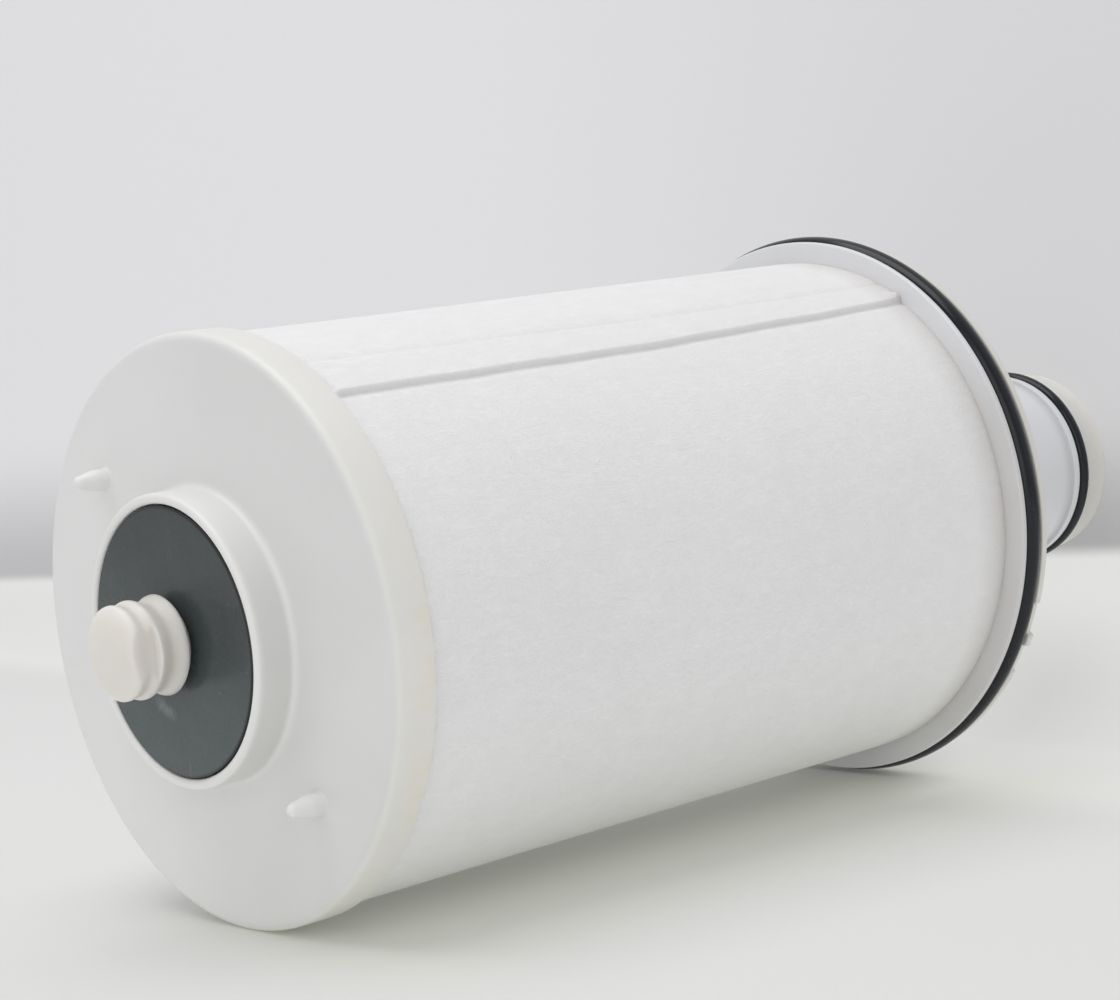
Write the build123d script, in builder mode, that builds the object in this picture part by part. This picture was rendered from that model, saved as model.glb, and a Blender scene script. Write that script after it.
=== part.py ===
"""Water filter cartridge: a fabric-wrapped carbon block between a closed cap and a flanged outlet.

Millimetres, +Z up along the cartridge's axis. The cartridge stands on the end of its outlet nose, with the
origin at the centre of that end, and the closed cap with its ribbed stem points up.
"""
import os
from math import cos, radians, sin

from build123d import *

# Outlet nose and neck
neck_bore_radius = 16.5
seat_wall = 3.4
nose_wall = 1.4
nose_length = 7.7
nose_lip = 3.0
nose_edge = 1.2
neck_wall = 4.7
neck_length = 70.6
collar_step = 2.1
collar_length = 2.2
collar_slope = 0.3
neck_ring_section = 3.0
shoulder_width = 3.2
shoulder_length = 3.0

# Flanged outlet cap
flange_overhang = 4.5
front_lip = 1.4
rear_lip = 1.7
rear_lip_extra = 0.25
lip_edge = 0.4
flange_ring_section = 4.4
flange_ring_proud = 0.95
rim_wall = 2.6
plate_thickness = 3.0
hub_wall = 3.8
web_count = 12
web_thickness = 1.8
web_setback = 0.8
notch_count = 2
notch_angle = 16.4
notch_depth = 0.6
notch_direction = 150.8
tab_angle = 2.7
tab_proud = 1.2

# Filter body between the two caps
body_radius = 55.0
media_length = 160.2
wrap_thickness = 2.0
bond_thickness = 1.5
sleeve_wall = 1.2
core_wall = 2.0
locating_wall = 2.35
locating_height = 6.0
slot_rows = 7
slots_per_row = 8
slot_width = 7.0
slot_fill = 0.62

# Lap seam of the wrap: the strip is wider at the closed cap than at the flange
lap_rise = 0.75
lap_direction_top = -129.6
lap_angle_top = 10.6
lap_direction_bottom = -125.0
lap_angle_bottom = 7.0
lap_root = 1.0
lap_end_gap = 0.3

# Closed cap with its boss and pegs
cap_thickness = 3.0
cap_edge = 1.6
skirt_wall = 1.2
skirt_length = 8.8
boss_height = 8.5
boss_wall = 2.0
boss_foot = 1.6
boss_rim_edge = 0.8
boss_floor = 2.6
disc_radius = 25.4
disc_thickness = 2.5
disc_setback = 0.3
disc_edge = 0.4
peg_count = 2
peg_direction = 135.0
peg_pitch_radius = 41.5
peg_radius = 2.1
peg_tip_radius = 1.35
peg_shank = 2.6
peg_taper = 3.2

# Ribbed stem: each step is the climb from one crest or waist to the next
shank_radius = 6.0
shank_grip = 5.0
socket_wall = 2.2
stem_foot_radius = 6.3
stem_collar_radius = 9.3
stem_collar_step = 2.5
stem_lower_waist_radius = 8.2
stem_lower_waist_step = 2.7
stem_lower_rib_radius = 9.2
stem_lower_rib_step = 2.95
stem_middle_waist_radius = 8.55
stem_middle_waist_step = 1.8
stem_upper_rib_radius = 8.85
stem_upper_rib_step = 1.65
stem_shoulder_radius = 7.8
stem_shoulder_step = 1.5
stem_tip_radius = 6.4
stem_tip_step = 0.8
stem_dome = 0.5
stem_flat_distance = 7.6

# Fits and clearances
ring_squeeze = 0.12
ring_side_gap = 0.1
socket_clearance = 0.05
core_clearance = 0.15
media_clearance = 0.1
skirt_clearance = 0.1
disc_gap = 0.25
disc_hole_gap = 0.15
stem_clearance = 0.03
stem_end_gap = 0.2
fillet_share = 0.45

# Radii built up from the bore outwards
seat_radius = neck_bore_radius + seat_wall
nose_radius = seat_radius + nose_wall
collar_radius = seat_radius + collar_step
neck_radius = neck_bore_radius + neck_wall
socket_radius = neck_radius + socket_clearance
hub_radius = socket_radius + hub_wall
shoulder_radius = neck_radius + shoulder_width
locating_radius = socket_radius + locating_wall
core_bore_radius = locating_radius + core_clearance
core_radius = core_bore_radius + core_wall
sleeve_radius = core_radius + sleeve_wall
block_bore_radius = sleeve_radius + media_clearance
block_radius = body_radius - wrap_thickness
front_lip_radius = body_radius + flange_overhang
rear_lip_radius = front_lip_radius + rear_lip_extra
flange_ring_radius = front_lip_radius + flange_ring_proud - flange_ring_section / 2
groove_radius = flange_ring_radius - flange_ring_section / 2 + ring_squeeze
rim_radius = groove_radius - rim_wall
neck_ring_radius = seat_radius + neck_ring_section / 2 - ring_squeeze
skirt_radius = body_radius + skirt_clearance
cap_radius = skirt_radius + skirt_wall
pocket_radius = disc_radius + disc_gap
boss_radius = pocket_radius + boss_wall
socket_bore_radius = shank_radius + stem_clearance

# Heights built up from the nose's end
neck_groove_width = neck_ring_section + ring_side_gap
neck_ring_height = nose_length + neck_groove_width / 2
collar_bottom = nose_length + neck_groove_width
collar_top = collar_bottom + collar_length
flange_groove_width = flange_ring_section + 2 * ring_side_gap
flange_groove_bottom = neck_length + rear_lip
flange_ring_height = flange_groove_bottom + flange_groove_width / 2
flange_groove_top = flange_groove_bottom + flange_groove_width
flange_face = flange_groove_top + front_lip
neck_top = flange_face + locating_height
plate_bottom = flange_face - plate_thickness
cap_inside = flange_face + media_length
cap_face = cap_inside + cap_thickness
skirt_bottom = cap_face - skirt_length
boss_top = cap_face + boss_height
disc_top = boss_top - disc_setback
pocket_floor = disc_top - disc_thickness
shank_bottom = pocket_floor - shank_grip
socket_bottom = shank_bottom - stem_end_gap
block_bottom = flange_face + bond_thickness
block_top = cap_inside - bond_thickness

os.makedirs("parts", exist_ok=True)


def turning_plane(direction):
    """Upright plane through the axis, with its own x pointing outwards at an angle from +X."""
    outward = (cos(radians(direction)), sin(radians(direction)), 0)
    normal = (sin(radians(direction)), -cos(radians(direction)), 0)
    return Plane(origin=(0, 0, 0), x_dir=outward, z_dir=normal)


def make_tube(label, inner_radius, outer_radius, bottom, top):
    """Plain round tube between two heights."""
    with BuildPart() as tube:
        with BuildSketch(Plane.XY.offset(bottom)):
            Circle(outer_radius)
            Circle(inner_radius, mode=Mode.SUBTRACT)
        extrude(amount=top - bottom)
    tube.part.label = label
    export_step(tube.part, f"parts/{label}.step")


def make_seal_ring(label, ring_radius, section, seat, height):
    """O-ring of round section, flattened where it is stretched over its seat."""
    with BuildPart() as ring:
        with BuildSketch(Plane.XZ):
            with Locations((ring_radius, height)):
                Circle(section / 2)
            with Locations((seat, height)):
                Rectangle(section, 2 * section, align=(Align.MAX, Align.CENTER), mode=Mode.SUBTRACT)
        revolve(axis=Axis.Z)
    ring.part.label = label
    export_step(ring.part, f"parts/{label}.step")


# Nose ring: pressed on the neck's seat, it ends the neck and holds the small O-ring
with BuildPart() as nose_ring:
    with BuildSketch(Plane.XZ):
        with BuildLine():
            Polyline(
                (neck_bore_radius, 0),
                (nose_radius, 0),
                (nose_radius, nose_length),
                (seat_radius, nose_length),
                (seat_radius, nose_lip),
                (neck_bore_radius, nose_lip),
                close=True,
            )
        make_face()
    revolve(axis=Axis.Z)
    nose_rim = nose_ring.edges().group_by(Axis.Z)[0].sort_by(SortBy.RADIUS)[-1]
    fillet(nose_rim, nose_edge)
nose_ring.part.label = "nose_ring"
export_step(nose_ring.part, "parts/nose_ring.step")

# Outlet neck: tube with the O-ring seat and collar below, and a shoulder that seats under the flange's hub
with BuildPart() as outlet_neck:
    with BuildSketch(Plane.XZ):
        with BuildLine():
            Polyline(
                (neck_bore_radius, nose_lip),
                (seat_radius, nose_lip),
                (seat_radius, collar_bottom),
                (collar_radius, collar_bottom),
                (collar_radius, collar_top),
                (neck_radius, collar_top + collar_slope),
                (neck_radius, neck_length - shoulder_length),
                (shoulder_radius, neck_length - shoulder_length),
                (shoulder_radius, neck_length),
                (neck_radius, neck_length),
                (neck_radius, neck_top),
                (neck_bore_radius, neck_top),
                close=True,
            )
        make_face()
    revolve(axis=Axis.Z)
outlet_neck.part.label = "outlet_neck"
export_step(outlet_neck.part, "parts/outlet_neck.step")

# Outlet end cap: webbed flange with the O-ring groove, the hub for the neck and a ring that centres the core
with BuildPart() as outlet_end_cap:
    with BuildSketch(Plane.XZ):
        with BuildLine():
            Polyline(
                (socket_radius, neck_length),
                (socket_radius, neck_top),
                (locating_radius, neck_top),
                (locating_radius, flange_face),
                (front_lip_radius, flange_face),
                (front_lip_radius, flange_groove_top),
                (groove_radius, flange_groove_top),
                (groove_radius, flange_groove_bottom),
                (rear_lip_radius, flange_groove_bottom),
                (rear_lip_radius, neck_length),
                (rim_radius, neck_length),
                (rim_radius, plate_bottom),
                (hub_radius, plate_bottom),
                (hub_radius, neck_length),
                close=True,
            )
        make_face()
    revolve(axis=Axis.Z)
    front_circles = outlet_end_cap.edges().filter_by(GeomType.CIRCLE).filter_by_position(
        Axis.Z, flange_groove_top, flange_face
    )
    chamfer(front_circles.sort_by(SortBy.RADIUS)[-2:], min(lip_edge, fillet_share * front_lip))
    # Stiffening webs between hub and rim, standing a little back from the rear lip
    web_reach = (rim_radius + rim_wall / 2) - (hub_radius - hub_wall / 2)
    with BuildSketch(Plane.XY.offset(neck_length + web_setback)):
        with PolarLocations(hub_radius - hub_wall / 2 + web_reach / 2, web_count):
            Rectangle(web_reach, web_thickness)
    extrude(amount=plate_bottom - neck_length - web_setback)
    # Notches in the rear lip, each with a small locating tab in its middle
    for notch_number in range(notch_count):
        direction = notch_direction + notch_number * 360 / notch_count
        with BuildSketch(turning_plane(direction - notch_angle / 2)):
            with Locations((rear_lip_radius - notch_depth, neck_length)):
                Rectangle(rear_lip, rear_lip, align=(Align.MIN, Align.MIN))
        revolve(axis=Axis.Z, revolution_arc=notch_angle, mode=Mode.SUBTRACT)
        with BuildSketch(turning_plane(direction - tab_angle / 2)):
            with Locations((groove_radius, neck_length)):
                Rectangle(
                    rear_lip_radius - notch_depth + tab_proud - groove_radius,
                    rear_lip,
                    align=(Align.MIN, Align.MIN),
                )
        revolve(axis=Axis.Z, revolution_arc=tab_angle)
outlet_end_cap.part.label = "outlet_end_cap"
export_step(outlet_end_cap.part, "parts/outlet_end_cap.step")

# Core tube: slotted, so that the filtered water can collect in the middle
slot_pitch = media_length / slot_rows
with BuildPart() as core_tube:
    with BuildSketch(Plane.XY.offset(flange_face)):
        Circle(core_radius)
        Circle(core_bore_radius, mode=Mode.SUBTRACT)
    extrude(amount=media_length)
    slot_heights = [flange_face + slot_pitch * (row + 0.5) for row in range(1, slot_rows - 1)]
    with Locations([(0, 0, height) for height in slot_heights]):
        with PolarLocations(core_bore_radius + core_wall / 2, slots_per_row):
            Box(2 * core_wall, slot_width, slot_pitch * slot_fill, mode=Mode.SUBTRACT)
core_tube.part.label = "core_tube"
export_step(core_tube.part, "parts/core_tube.step")

# Felt sleeve, carbon block and the two glue rings that close the block's ends
make_tube("fines_sleeve", core_radius, sleeve_radius, flange_face, cap_inside)
make_tube("carbon_block", block_bore_radius, block_radius, block_bottom, block_top)
make_tube("outlet_end_bond", block_bore_radius, block_radius, flange_face, block_bottom)
make_tube("closed_end_bond", block_bore_radius, block_radius, block_top, cap_inside)

# Prefilter wrap: rolled fabric whose free edge laps over itself as a raised strip
with BuildPart() as prefilter_wrap:
    with BuildSketch(Plane.XY.offset(flange_face)):
        Circle(body_radius)
        Circle(block_radius, mode=Mode.SUBTRACT)
    extrude(amount=media_length)
    lap_ends = (
        (flange_face, lap_direction_bottom, lap_angle_bottom),
        (skirt_bottom - lap_end_gap, lap_direction_top, lap_angle_top),
    )
    for height, direction, angle in lap_ends:
        with BuildSketch(Plane.XY.offset(height)):
            with BuildLine():
                outside = CenterArc((0, 0), body_radius + lap_rise, direction, angle)
                inside = CenterArc((0, 0), body_radius - lap_root, direction, angle)
                Line(inside @ 0, outside @ 0)
                Line(inside @ 1, outside @ 1)
            make_face()
    loft(ruled=True)
prefilter_wrap.part.label = "prefilter_wrap"
export_step(prefilter_wrap.part, "parts/prefilter_wrap.step")

# Closed end cap: plate, skirt, boss rim with its pocket, and the stem's socket cored out from inside
with BuildPart() as closed_end_cap:
    with BuildSketch(Plane.XZ):
        with BuildLine():
            Polyline(
                (0, socket_bottom - boss_floor),
                (socket_bore_radius + socket_wall, socket_bottom - boss_floor),
                (socket_bore_radius + socket_wall, pocket_floor - boss_floor),
                (socket_radius, pocket_floor - boss_floor),
                (socket_radius, cap_inside - locating_height),
                (locating_radius, cap_inside - locating_height),
                (locating_radius, cap_inside),
                (skirt_radius, cap_inside),
                (skirt_radius, skirt_bottom),
                (cap_radius, skirt_bottom),
                (cap_radius, cap_face),
                (boss_radius, cap_face),
                (boss_radius, boss_top),
                (pocket_radius, boss_top),
                (pocket_radius, pocket_floor),
                (socket_bore_radius, pocket_floor),
                (socket_bore_radius, socket_bottom),
                (0, socket_bottom),
                close=True,
            )
        make_face()
    revolve(axis=Axis.Z)
    face_circles = closed_end_cap.edges().filter_by(GeomType.CIRCLE).filter_by_position(
        Axis.Z, cap_face, cap_face
    )
    fillet(face_circles.sort_by(SortBy.RADIUS)[-1], cap_edge)
    boss_circles = closed_end_cap.edges().filter_by(GeomType.CIRCLE).filter_by_position(
        Axis.Z, cap_face, cap_face
    )
    fillet(boss_circles.sort_by(SortBy.RADIUS)[0], boss_foot)
    fillet(closed_end_cap.edges().group_by(Axis.Z)[-1], min(boss_rim_edge, fillet_share * boss_wall))
    # Pegs: a short round shank, a taper and a rounded tip
    with PolarLocations(peg_pitch_radius, peg_count, start_angle=peg_direction):
        with Locations((0, 0, cap_face)):
            Cylinder(peg_radius, peg_shank, align=(Align.CENTER, Align.CENTER, Align.MIN))
        with Locations((0, 0, cap_face + peg_shank)):
            Cone(peg_radius, peg_tip_radius, peg_taper, align=(Align.CENTER, Align.CENTER, Align.MIN))
        with Locations((0, 0, cap_face + peg_shank + peg_taper)):
            Sphere(peg_tip_radius)
closed_end_cap.part.label = "closed_end_cap"
export_step(closed_end_cap.part, "parts/closed_end_cap.step")

# Seal disc: flat rubber disc in the boss, with a hole for the stem's shank
with BuildPart() as seal_disc:
    with BuildSketch(Plane.XY.offset(pocket_floor)):
        Circle(disc_radius)
        Circle(shank_radius + disc_hole_gap, mode=Mode.SUBTRACT)
    extrude(amount=disc_thickness)
    chamfer(seal_disc.edges().group_by(Axis.Z)[-1].sort_by(SortBy.RADIUS)[-1], disc_edge)
seal_disc.part.label = "seal_disc"
export_step(seal_disc.part, "parts/seal_disc.step")

# Ribbed stem: one turned wave of crests and waists above the disc, with two flats from the lower rib to the tip
collar_height = disc_top + stem_collar_step
lower_waist_height = collar_height + stem_lower_waist_step
lower_rib_height = lower_waist_height + stem_lower_rib_step
middle_waist_height = lower_rib_height + stem_middle_waist_step
upper_rib_height = middle_waist_height + stem_upper_rib_step
stem_shoulder_height = upper_rib_height + stem_shoulder_step
tip_height = stem_shoulder_height + stem_tip_step
with BuildPart() as ribbed_stem:
    with BuildSketch(Plane.XZ):
        with BuildLine():
            foot = Polyline(
                (0, shank_bottom),
                (shank_radius, shank_bottom),
                (shank_radius, disc_top),
                (stem_foot_radius, disc_top),
            )
            wave = Spline(
                foot @ 1,
                (stem_collar_radius, collar_height),
                (stem_lower_waist_radius, lower_waist_height),
                (stem_lower_rib_radius, lower_rib_height),
                (stem_middle_waist_radius, middle_waist_height),
                (stem_upper_rib_radius, upper_rib_height),
                (stem_shoulder_radius, stem_shoulder_height),
                (stem_tip_radius, tip_height),
            )
            dome = Spline(wave @ 1, (0, tip_height + stem_dome), tangents=(wave % 1, (-1, 0)))
            Line(dome @ 1, foot @ 0)
        make_face()
    revolve(axis=Axis.Z)
    with BuildSketch(Plane.XY.offset(lower_rib_height)):
        with Locations((stem_flat_distance, 0)):
            Rectangle(stem_collar_radius, 3 * stem_collar_radius, align=(Align.MIN, Align.CENTER))
        with Locations((-stem_flat_distance, 0)):
            Rectangle(stem_collar_radius, 3 * stem_collar_radius, align=(Align.MAX, Align.CENTER))
    extrude(amount=tip_height + 2 * stem_dome - lower_rib_height, mode=Mode.SUBTRACT)
ribbed_stem.part.label = "ribbed_stem"
export_step(ribbed_stem.part, "parts/ribbed_stem.step")

# O-rings of the neck and of the flange
make_seal_ring("neck_o_ring", neck_ring_radius, neck_ring_section, seat_radius, neck_ring_height)
make_seal_ring("flange_o_ring", flange_ring_radius, flange_ring_section, groove_radius, flange_ring_height)
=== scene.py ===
"""Water filter cartridge: the fine surfaces, finishes, studio and camera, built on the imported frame.

Metres, in the frame's own axes: the cartridge stands on the end of its outlet nose, with +Z along its
axis up to the closed cap. Each piece is a surface worked out with whole arrays, mostly a profile turned
round the axis.
"""

import math

import bpy
import numpy as np
from bpy.props import FloatProperty, FloatVectorProperty, IntProperty, PointerProperty
from mathutils import Matrix, Vector


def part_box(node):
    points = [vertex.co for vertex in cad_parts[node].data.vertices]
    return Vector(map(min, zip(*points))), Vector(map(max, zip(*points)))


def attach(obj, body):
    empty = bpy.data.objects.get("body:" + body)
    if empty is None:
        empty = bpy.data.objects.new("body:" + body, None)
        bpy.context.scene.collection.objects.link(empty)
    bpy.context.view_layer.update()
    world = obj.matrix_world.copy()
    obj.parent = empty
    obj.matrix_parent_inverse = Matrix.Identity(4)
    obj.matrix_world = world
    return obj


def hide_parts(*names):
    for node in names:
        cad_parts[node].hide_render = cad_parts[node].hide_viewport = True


bl_info = {
    "name": "Water Filter Cartridge",
    "version": (1, 0, 0),
    "blender": (4, 5, 0),
    "location": "3D View > Sidebar > Cartridge",
    "description": "Builds a water filter cartridge's surfaces, finishes and studio on its frame",
    "category": "Object",
}

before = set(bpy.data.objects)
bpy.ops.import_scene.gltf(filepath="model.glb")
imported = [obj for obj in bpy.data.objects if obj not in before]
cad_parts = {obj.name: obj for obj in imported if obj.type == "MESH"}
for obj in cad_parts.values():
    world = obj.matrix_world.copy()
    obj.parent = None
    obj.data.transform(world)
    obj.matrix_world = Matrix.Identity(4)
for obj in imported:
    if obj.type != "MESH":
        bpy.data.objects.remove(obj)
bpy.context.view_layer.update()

# Levels and radii that the frame settles
NOSE_LOW, NOSE_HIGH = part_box("nose_ring")
NECK_LOW, NECK_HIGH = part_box("outlet_neck")
FLANGE_LOW, FLANGE_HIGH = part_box("outlet_end_cap")
WRAP_LOW, WRAP_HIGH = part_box("prefilter_wrap")
_, CAP_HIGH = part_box("closed_end_cap")
DISC_LOW, DISC_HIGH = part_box("seal_disc")
STEM_LOW, STEM_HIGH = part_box("ribbed_stem")
FLANGE_RING_LOW, FLANGE_RING_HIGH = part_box("flange_o_ring")
NECK_RING_LOW, NECK_RING_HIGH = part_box("neck_o_ring")

MM = 0.001
FULL_TURN = 2.0 * np.pi
POLE = 0.5 * MM  # radius at which a turned surface ends in a fan
SHARP = 0.15 * MM  # rounding of an edge that looks sharp
CRISP = 0.1 * MM  # rounding of an edge that is out of sight or very small
EASED = 0.3 * MM  # rounding of an edge that is broken a little
NOTCH_SIDE = math.radians(0.16)  # half the turn over which a notch or a tab begins


# Properties

def length(description, millimetres):
    """A length that a user may change, stated in millimetres."""
    size = millimetres * MM
    return FloatProperty(description=description, default=size, min=0.0, unit="LENGTH", precision=5)


def crest(description, *millimetres):
    """Radius and height of a crest or a waist that a user may change, stated in millimetres."""
    place = [size * MM for size in millimetres]
    return FloatVectorProperty(
        description=description, default=place, size=2, min=0.0, unit="LENGTH", precision=5
    )


def angle(description, degrees):
    """An angle that a user may change, stated in degrees."""
    return FloatProperty(description=description, default=math.radians(degrees), subtype="ANGLE")


def share(description, default):
    """A plain share or strength that a user may change."""
    return FloatProperty(description=description, default=default, min=0.0)


def tint(description, *default):
    """A colour that a user may change."""
    return FloatVectorProperty(
        description=description, default=default, size=3, min=0.0, max=1.0, subtype="COLOR"
    )


class CapSizes(bpy.types.PropertyGroup):
    """Sizes of the closed cap, its disc and its pegs."""

    plate: length("Thickness of the cap's plate", 3.0)
    edge: length("Rounding of the plate's outer edge", 1.7)
    skirt: length("Length of the cap from its face to the skirt's lower edge", 8.8)
    skirt_wall: length("Thickness of the skirt", 1.2)
    boss_wall: length("Thickness of the boss's rim", 2.0)
    foot: length("Hollow rounding at the boss's foot", 1.6)
    rim: length("Rounding of the boss's rim", 0.85)
    floor: length("Thickness under the pocket", 2.6)
    gap: length("Gap between the disc and the boss", 0.25)
    disc_edge: length("Rounding of the disc's upper edge", 0.4)
    grip: length("Depth of the stem's socket below the pocket", 5.2)
    socket: length("Radius of the stem's socket", 6.03)
    socket_wall: length("Thickness of the socket", 2.2)
    ring_inner: length("Inner radius of the ring that centres the core", 21.25)
    ring_outer: length("Outer radius of the ring that centres the core", 23.6)
    ring_height: length("Height of the ring that centres the core", 6.0)
    peg_pitch: length("Distance of the pegs from the axis", 41.5)
    peg_turn: angle("Direction of the first peg", 135.0)
    peg_radius: length("Radius of a peg's shank", 2.1)
    peg_tip: length("Radius of a peg's rounded tip", 1.35)
    peg_shank: length("Length of a peg's straight shank", 2.6)
    peg_taper: length("Length of a peg's taper", 3.2)
    peg_foot: length("Hollow rounding at a peg's foot", 0.6)


class StemSizes(bpy.types.PropertyGroup):
    """Sizes of the ribbed stem. Heights are counted from the disc."""

    shank: length("Radius of the shank inside the cap", 6.0)
    foot: length("Radius where the stem meets the disc", 6.3)
    drum: crest("Radius and height of the round drum's crest", 9.4, 2.5)
    lower_waist: crest("Radius and height of the waist above the drum", 8.2, 5.2)
    lower_rib: crest("Radius and height of the lower rib", 9.2, 8.15)
    middle_waist: crest("Radius and height of the waist between the ribs", 8.55, 9.95)
    upper_rib: crest("Radius and height of the upper rib", 8.85, 11.6)
    end_power: share("Fullness of the domed end: 2 is an ellipse", 2.15)
    flat: length("Distance of the two flats from the axis", 7.65)


class WrapSizes(bpy.types.PropertyGroup):
    """Sizes of the fabric wrap and its lap seam."""

    radius: length("Outer radius of the wrap", 55.0)
    thickness: length("Thickness of the wrap", 2.0)
    rise: length("How far the free edge stands up", 0.78)
    edge_width: length("Width of the slope at the free edge", 1.2)
    edge_low: angle("Direction of the free edge at the flange", -125.0)
    edge_high: angle("Direction of the free edge at the cap", -128.7)
    lap_low: angle("Width of the lap at the flange", 7.0)
    lap_high: angle("Width of the lap at the cap", 10.4)
    bow: angle("How far the free edge bows out halfway", 1.2)
    hook: angle("Turn of the free edge where it meets the cap", 0.5)
    tuck: length("How far the fabric is pulled in at the flange", 0.15)
    nub: length("Height of the folded corner at the flange", 0.75)
    unevenness: length("Height of the fabric's soft waves", 0.07)


class OutletSizes(bpy.types.PropertyGroup):
    """Sizes of the flange, the neck, the nose and the O-rings."""

    bore: length("Radius of the neck's bore", 16.5)
    seat: length("Radius of the small O-ring's seat", 19.9)
    nose_edge: length("Rounding of the nose's end", 1.2)
    collar: length("Radius of the collar above the small O-ring", 22.0)
    collar_low: length("Height where the collar starts", 10.8)
    collar_high: length("Height where the collar ends", 13.0)
    neck: length("Radius of the neck", 21.2)
    shoulder: length("Height of the shoulder under the hub", 3.0)
    clearance: length("Gap between neck and hub", 0.05)
    hub: length("Radius of the hub", 25.05)
    plate: length("Thickness of the flange's plate", 3.0)
    rim: length("Inner radius of the rim", 53.57)
    groove: length("Radius of the groove's floor", 56.17)
    front_radius: length("Radius of the lip on the filter's side", 59.5)
    rear_radius: length("Radius of the lip on the neck's side", 59.75)
    front_lip: length("Thickness of the front lip", 1.4)
    rear_lip: length("Thickness of the rear lip", 1.7)
    lip_edge: length("Rounding of the lips", 0.4)
    ring_wall: length("Thickness of the ring that centres the core", 2.35)
    notch_turn: angle("Direction of the first notch", 150.8)
    notch_angle: angle("Angle that a notch takes", 16.4)
    notch_depth: length("Depth of a notch in the rear lip", 0.6)
    tab_angle: angle("Angle that a tab takes", 2.7)
    tab_proud: length("How far a tab stands out of its notch", 1.2)
    webs: IntProperty(description="Number of webs behind the flange", default=12, min=0)
    web_width: length("Thickness of a web", 1.8)
    web_setback: length("How far the webs stand back from the rear lip", 0.8)


class Finishes(bpy.types.PropertyGroup):
    """Colours of the finishes."""

    cap: tint("Moulded plastic of the closed cap's face", 0.80, 0.802, 0.80)
    cap_cream: tint("Warmer tone of the cap's skirt", 0.80, 0.795, 0.765)
    boss: tint("Tone of the boss and the pegs", 0.83, 0.828, 0.818)
    amber: tint("Set glue that shows through at the skirt", 0.80, 0.68, 0.46)
    disc: tint("Slate rubber of the disc", 0.054, 0.069, 0.072)
    cream: tint("Moulded plastic of the stem", 0.785, 0.76, 0.72)
    nose: tint("Paler cream of the nose", 0.805, 0.78, 0.715)
    fabric: tint("Nonwoven of the wrap", 0.850, 0.850, 0.856)
    outlet: tint("Moulded plastic of the flange and the neck", 0.765, 0.772, 0.795)
    outlet_rear: tint("Warmer tone behind the flange", 0.72, 0.705, 0.665)
    rubber: tint("Black rubber of the O-rings", 0.004, 0.006, 0.010)
    carbon: tint("Pressed carbon of the block", 0.025, 0.025, 0.026)
    felt: tint("Felt of the sleeve", 0.84, 0.84, 0.82)
    core: tint("Plastic of the core tube", 0.80, 0.80, 0.78)
    glue: tint("Set glue at the block's ends", 0.76, 0.70, 0.55)


class StudioSettings(bpy.types.PropertyGroup):
    """Camera, lamps and sweep."""

    lens: FloatProperty(description="Focal length on a 36 mm sensor, in millimetres", default=86.84)
    eye: FloatVectorProperty(
        description="Place of the camera", default=(-0.4216, -0.0644, 0.5136), subtype="TRANSLATION"
    )
    table: tint("Pale tone of the sweep beside the cartridge", 0.77, 0.77, 0.76)
    # Painted shadow tint: the sweep's tone where the cartridge's shadow falls
    contact: tint("Tone of the sweep close under the cartridge", 0.78, 0.79, 0.728)
    backdrop: tint("Pale tone of the sweep farther off", 0.765, 0.765, 0.782)
    # Painted shade: how much of the backdrop's tone is left where it begins
    dusk: share("Share of that tone that is left where the backdrop begins", 0.66)
    glow: share("Share of its own light in the backdrop's tone", 0.62)
    table_glow: share("Share of its own light in the table's tone, next to the cartridge", 0.07)
    bounce: share("Light that the table gives the cartridge's underside, unseen by the camera", 0.095)
    key: share("Light level of the large lamp over the wrap's seam side", 0.465)
    fill: share("Light level of the lamp above the closed cap", 0.16)
    air: share("Light level of the room", 0.53)


# Surfaces

def turns(count):
    """Even angles round one turn."""
    return np.linspace(0.0, FULL_TURN, count, endpoint=False)


def smooth(value, low, high):
    """0 at low to 1 at high, level at both ends: three squares less two cubes of the share between."""
    part = np.clip((value - low) / (high - low), 0.0, 1.0)
    return part * part * (3.0 - 2.0 * part)


def bump(value, middle, width):
    """A bell curve: e to the minus square of the distance from the middle, counted in widths."""
    return np.exp(-(((value - middle) / width) ** 2))


def pairs(first, second):
    """Points of a profile, from the row of each coordinate."""
    return np.stack([first, second], -1)


def rounded(corners, steps=6):
    """Closed profile of (radius, height) points. Each corner is (radius, height, rounding).

    A rounding is the exact arc between its tangent points: a rational blend of the two tangent points
    and the corner, in which the corner is weighted by the sine of half its angle.
    """
    corners = np.array(corners, float)
    place = corners[:, :2]
    back = np.roll(place, 1, 0) - place
    ahead = np.roll(place, -1, 0) - place
    back /= np.linalg.norm(back, axis=1, keepdims=True)
    ahead /= np.linalg.norm(ahead, axis=1, keepdims=True)
    half = 0.5 * np.arccos(np.clip((back * ahead).sum(1), -1.0, 1.0))
    reach = (corners[:, 2] / np.tan(half))[:, None]
    start, end = place + back * reach, place + ahead * reach
    t = np.linspace(0.0, 1.0, steps + 1)[None, :, None]
    weight = np.sin(half)[:, None, None]
    first, middle, last = (1.0 - t) ** 2, 2.0 * weight * t * (1.0 - t), t**2
    arcs = first * start[:, None] + middle * place[:, None] + last * end[:, None]
    points = (arcs / (first + middle + last)).reshape(-1, 2)
    return points[np.linalg.norm(points - np.roll(points, 1, 0), axis=1) > 1e-7]


def refined(profile, step, loop=True):
    """Profile with points added along its straight runs, so that no run is much longer than step."""
    path = np.concatenate([profile, profile[:1]]) if loop else profile
    travel = np.concatenate([[0.0], np.cumsum(np.linalg.norm(np.diff(path, axis=0), axis=1))])
    extra = np.arange(step, travel[-1], step)
    extra = extra[np.abs(extra[:, None] - travel[None, :]).min(1) > 0.3 * step]
    stations = np.sort(np.concatenate([travel, extra]))
    stations = stations[:-1] if loop else stations
    return pairs(*(np.interp(stations, travel, row) for row in path.T))


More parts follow.
